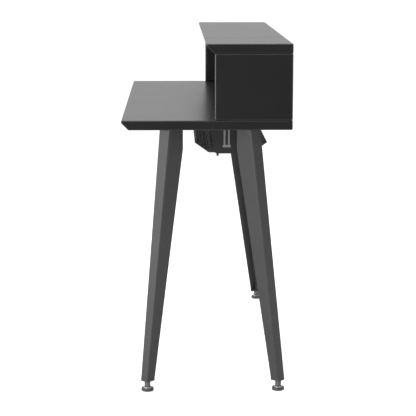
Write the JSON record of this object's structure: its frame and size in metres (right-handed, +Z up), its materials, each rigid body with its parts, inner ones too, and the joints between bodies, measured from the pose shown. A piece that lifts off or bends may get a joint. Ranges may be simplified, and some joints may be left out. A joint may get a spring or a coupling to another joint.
{
  "type": "writing desk with hutch and drawers",
  "caption": "Black writing desk on folded tapered steel legs with levelling feet, a raised rear hutch with an open bay and small drawers, and a wire cable tray below.",
  "frame": {"origin": "on the floor, under the middle of the desktop", "axes": "+Z up, +X to the sitter's right, +Y to the rear"},
  "size_m": [1.2, 0.455, 0.962],
  "materials": {
    "black_board": "satin black laminate on board, soft sheen",
    "leg_steel": "fine matt black powder coat",
    "tray_steel": "matt black powder coat",
    "coated_wire": "smooth black coated wire",
    "strap_steel": "grey coated strip",
    "zinc_steel": "zinc plated sheet",
    "screw_steel": "zinc plated screw",
    "dark_screw": "black oxide screw",
    "foot_steel": "dark zinc plated steel",
    "foot_plastic": "moulded dark grey plastic",
    "drawer_board": "black foil wrapped board, matt",
    "beech_dowel": "fluted beech dowel"
  },
  "bodies": {
    "desk": {"desktop": "black_board", "hutch_top_main": "black_board", "hutch_top_end": "black_board", "hutch_side_left": "black_board", "hutch_side_right": "black_board", "hutch_partition": "black_board", "hutch_back": "black_board", "hutch_screws": "screw_steel", "hutch_dowels": "beech_dowel", "partition_angles": "zinc_steel", "partition_angle_screws": "screw_steel", "cabinet_rails": "zinc_steel", "cabinet_rail_screws": "screw_steel", "leg_screws": "dark_screw", "lock_nuts": "foot_steel", "tray_ribs": "coated_wire", "tray_long_wires": "coated_wire", "tray_hanger_right": "tray_steel", "tray_hanger_left": "tray_steel", "tray_screws": "dark_screw", "tray_clamp_screws": "dark_screw", "tray_straps": "strap_steel", "leg_front_left": "leg_steel", "leg_plate_front_left": "leg_steel", "foot_plate_front_left": "leg_steel", "leg_front_right": "leg_steel", "leg_plate_front_right": "leg_steel", "foot_plate_front_right": "leg_steel", "leg_rear_left": "leg_steel", "leg_plate_rear_left": "leg_steel", "foot_plate_rear_left": "leg_steel", "leg_rear_right": "leg_steel", "leg_plate_rear_right": "leg_steel", "foot_plate_rear_right": "leg_steel"},
    "pad_front_left": {"foot_pad_front_left": "foot_plastic"},
    "stud_front_left": {"foot_stud_front_left": "foot_steel"},
    "pad_front_right": {"foot_pad_front_right": "foot_plastic"},
    "stud_front_right": {"foot_stud_front_right": "foot_steel"},
    "pad_rear_left": {"foot_pad_rear_left": "foot_plastic"},
    "stud_rear_left": {"foot_stud_rear_left": "foot_steel"},
    "pad_rear_right": {"foot_pad_rear_right": "foot_plastic"},
    "stud_rear_right": {"foot_stud_rear_right": "foot_steel"},
    "drawer_lower": {"drawer_lower_front": "black_board", "drawer_lower_side_left": "drawer_board", "drawer_lower_side_right": "drawer_board", "drawer_lower_back": "drawer_board", "drawer_lower_bottom": "drawer_board", "drawer_lower_rails": "zinc_steel", "drawer_lower_rail_screws": "screw_steel"},
    "drawer_upper": {"drawer_upper_front": "black_board", "drawer_upper_side_left": "drawer_board", "drawer_upper_side_right": "drawer_board", "drawer_upper_back": "drawer_board", "drawer_upper_bottom": "drawer_board", "drawer_upper_rails": "zinc_steel", "drawer_upper_rail_screws": "screw_steel"}
  },
  "joints": [
    {"name": "foot_front_left_raise", "type": "slide", "parent": "desk", "child": "pad_front_left", "axis": [0, 0, -1], "range_m": [0, 0.012]},
    {"name": "foot_front_left_turn", "type": "hinge", "parent": "pad_front_left", "child": "stud_front_left", "pos_m": [-0.536, -0.164, 0], "axis": [0, 0, -1], "range_deg": [0, 3456.5]},
    {"name": "foot_front_right_raise", "type": "slide", "parent": "desk", "child": "pad_front_right", "axis": [0, 0, -1], "range_m": [0, 0.012]},
    {"name": "foot_front_right_turn", "type": "hinge", "parent": "pad_front_right", "child": "stud_front_right", "pos_m": [0.536, -0.164, 0], "axis": [0, 0, -1], "range_deg": [0, 3456.5]},
    {"name": "foot_rear_left_raise", "type": "slide", "parent": "desk", "child": "pad_rear_left", "axis": [0, 0, -1], "range_m": [0, 0.012]},
    {"name": "foot_rear_left_turn", "type": "hinge", "parent": "pad_rear_left", "child": "stud_rear_left", "pos_m": [-0.536, 0.199, 0], "axis": [0, 0, -1], "range_deg": [0, 3456.5]},
    {"name": "foot_rear_right_raise", "type": "slide", "parent": "desk", "child": "pad_rear_right", "axis": [0, 0, -1], "range_m": [0, 0.012]},
    {"name": "foot_rear_right_turn", "type": "hinge", "parent": "pad_rear_right", "child": "stud_rear_right", "pos_m": [0.536, 0.199, 0], "axis": [0, 0, -1], "range_deg": [0, 3456.5]},
    {"name": "drawer_lower_slide", "type": "slide", "parent": "desk", "child": "drawer_lower", "axis": [0, -1, 0], "range_m": [0, 0.105]},
    {"name": "drawer_upper_slide", "type": "slide", "parent": "desk", "child": "drawer_upper", "axis": [0, -1, 0], "range_m": [0, 0.105]}
  ],
  "couplings": [
    {"joint": "foot_front_left_turn", "follows": "foot_front_left_raise", "rad_per_m": 5026.5},
    {"joint": "foot_front_right_turn", "follows": "foot_front_right_raise", "rad_per_m": 5026.5},
    {"joint": "foot_rear_left_turn", "follows": "foot_rear_left_raise", "rad_per_m": 5026.5},
    {"joint": "foot_rear_right_turn", "follows": "foot_rear_right_raise", "rad_per_m": 5026.5}
  ]
}
